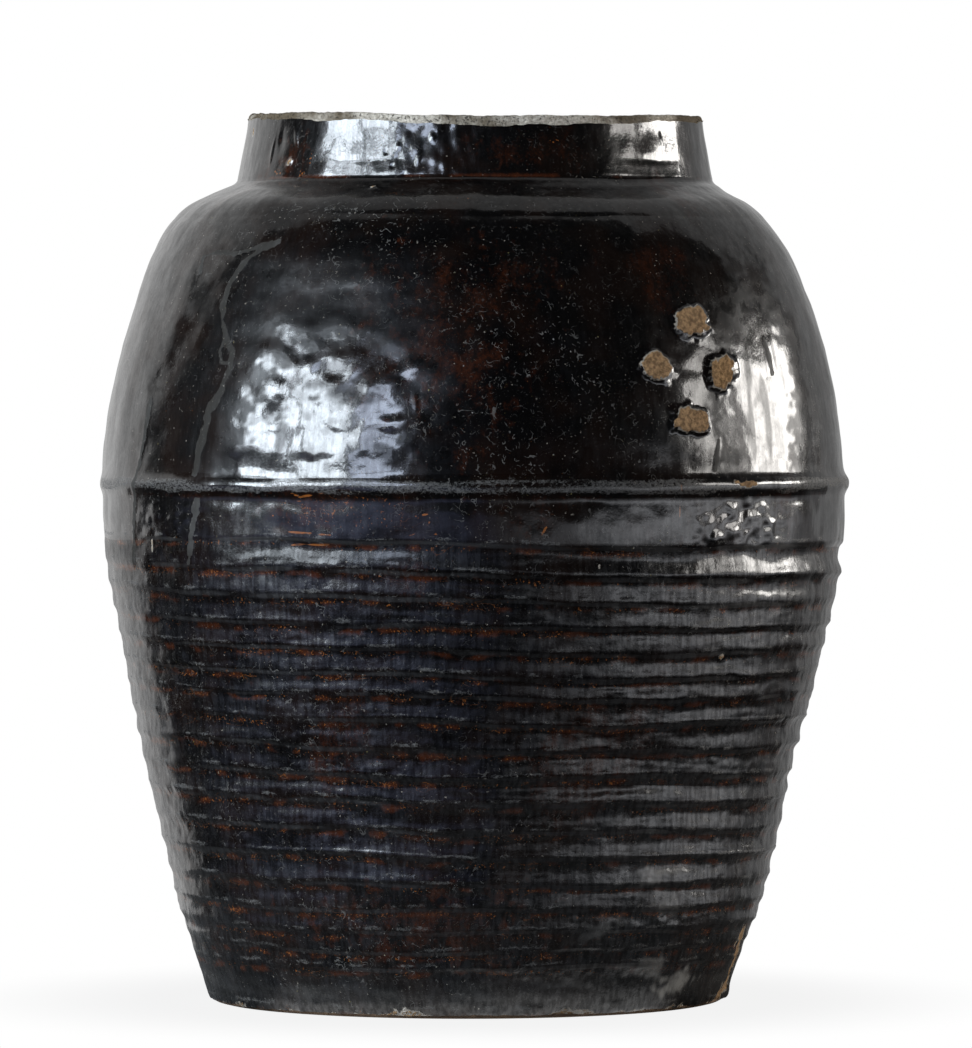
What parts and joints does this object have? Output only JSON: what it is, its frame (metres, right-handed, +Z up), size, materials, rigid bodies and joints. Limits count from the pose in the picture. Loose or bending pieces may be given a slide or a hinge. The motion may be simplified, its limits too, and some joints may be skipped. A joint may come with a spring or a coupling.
{
  "type": "vinegar jar",
  "caption": "Squat wide-necked stoneware jar: narrow flat foot, ribbed lower wall, smooth belly with a raised seam ridge, full round shoulder and a short tapering neck with a bare lip.",
  "frame": {"origin": "centre of the flat foot, on the surface that the jar stands on", "axes": "+Z up along the jar's axis, towards its mouth; the side that the picture shows faces -Y"},
  "size_m": [0.38, 0.38, 0.45],
  "materials": {
    "dark_glaze": "gloss",
    "rim_clay": "matte",
    "bare_clay": "matte"
  },
  "bodies": {
    "root": {"base_disc": "bare_clay", "lower_ribbed_wall": "dark_glaze", "upper_ribbed_wall": "dark_glaze", "belly_band": "dark_glaze", "seam_ridge": "dark_glaze", "shoulder_dome": "dark_glaze", "shoulder_cap": "dark_glaze", "neck_collar": "dark_glaze", "rim_lip": "rim_clay"}
  },
  "joints": []
}
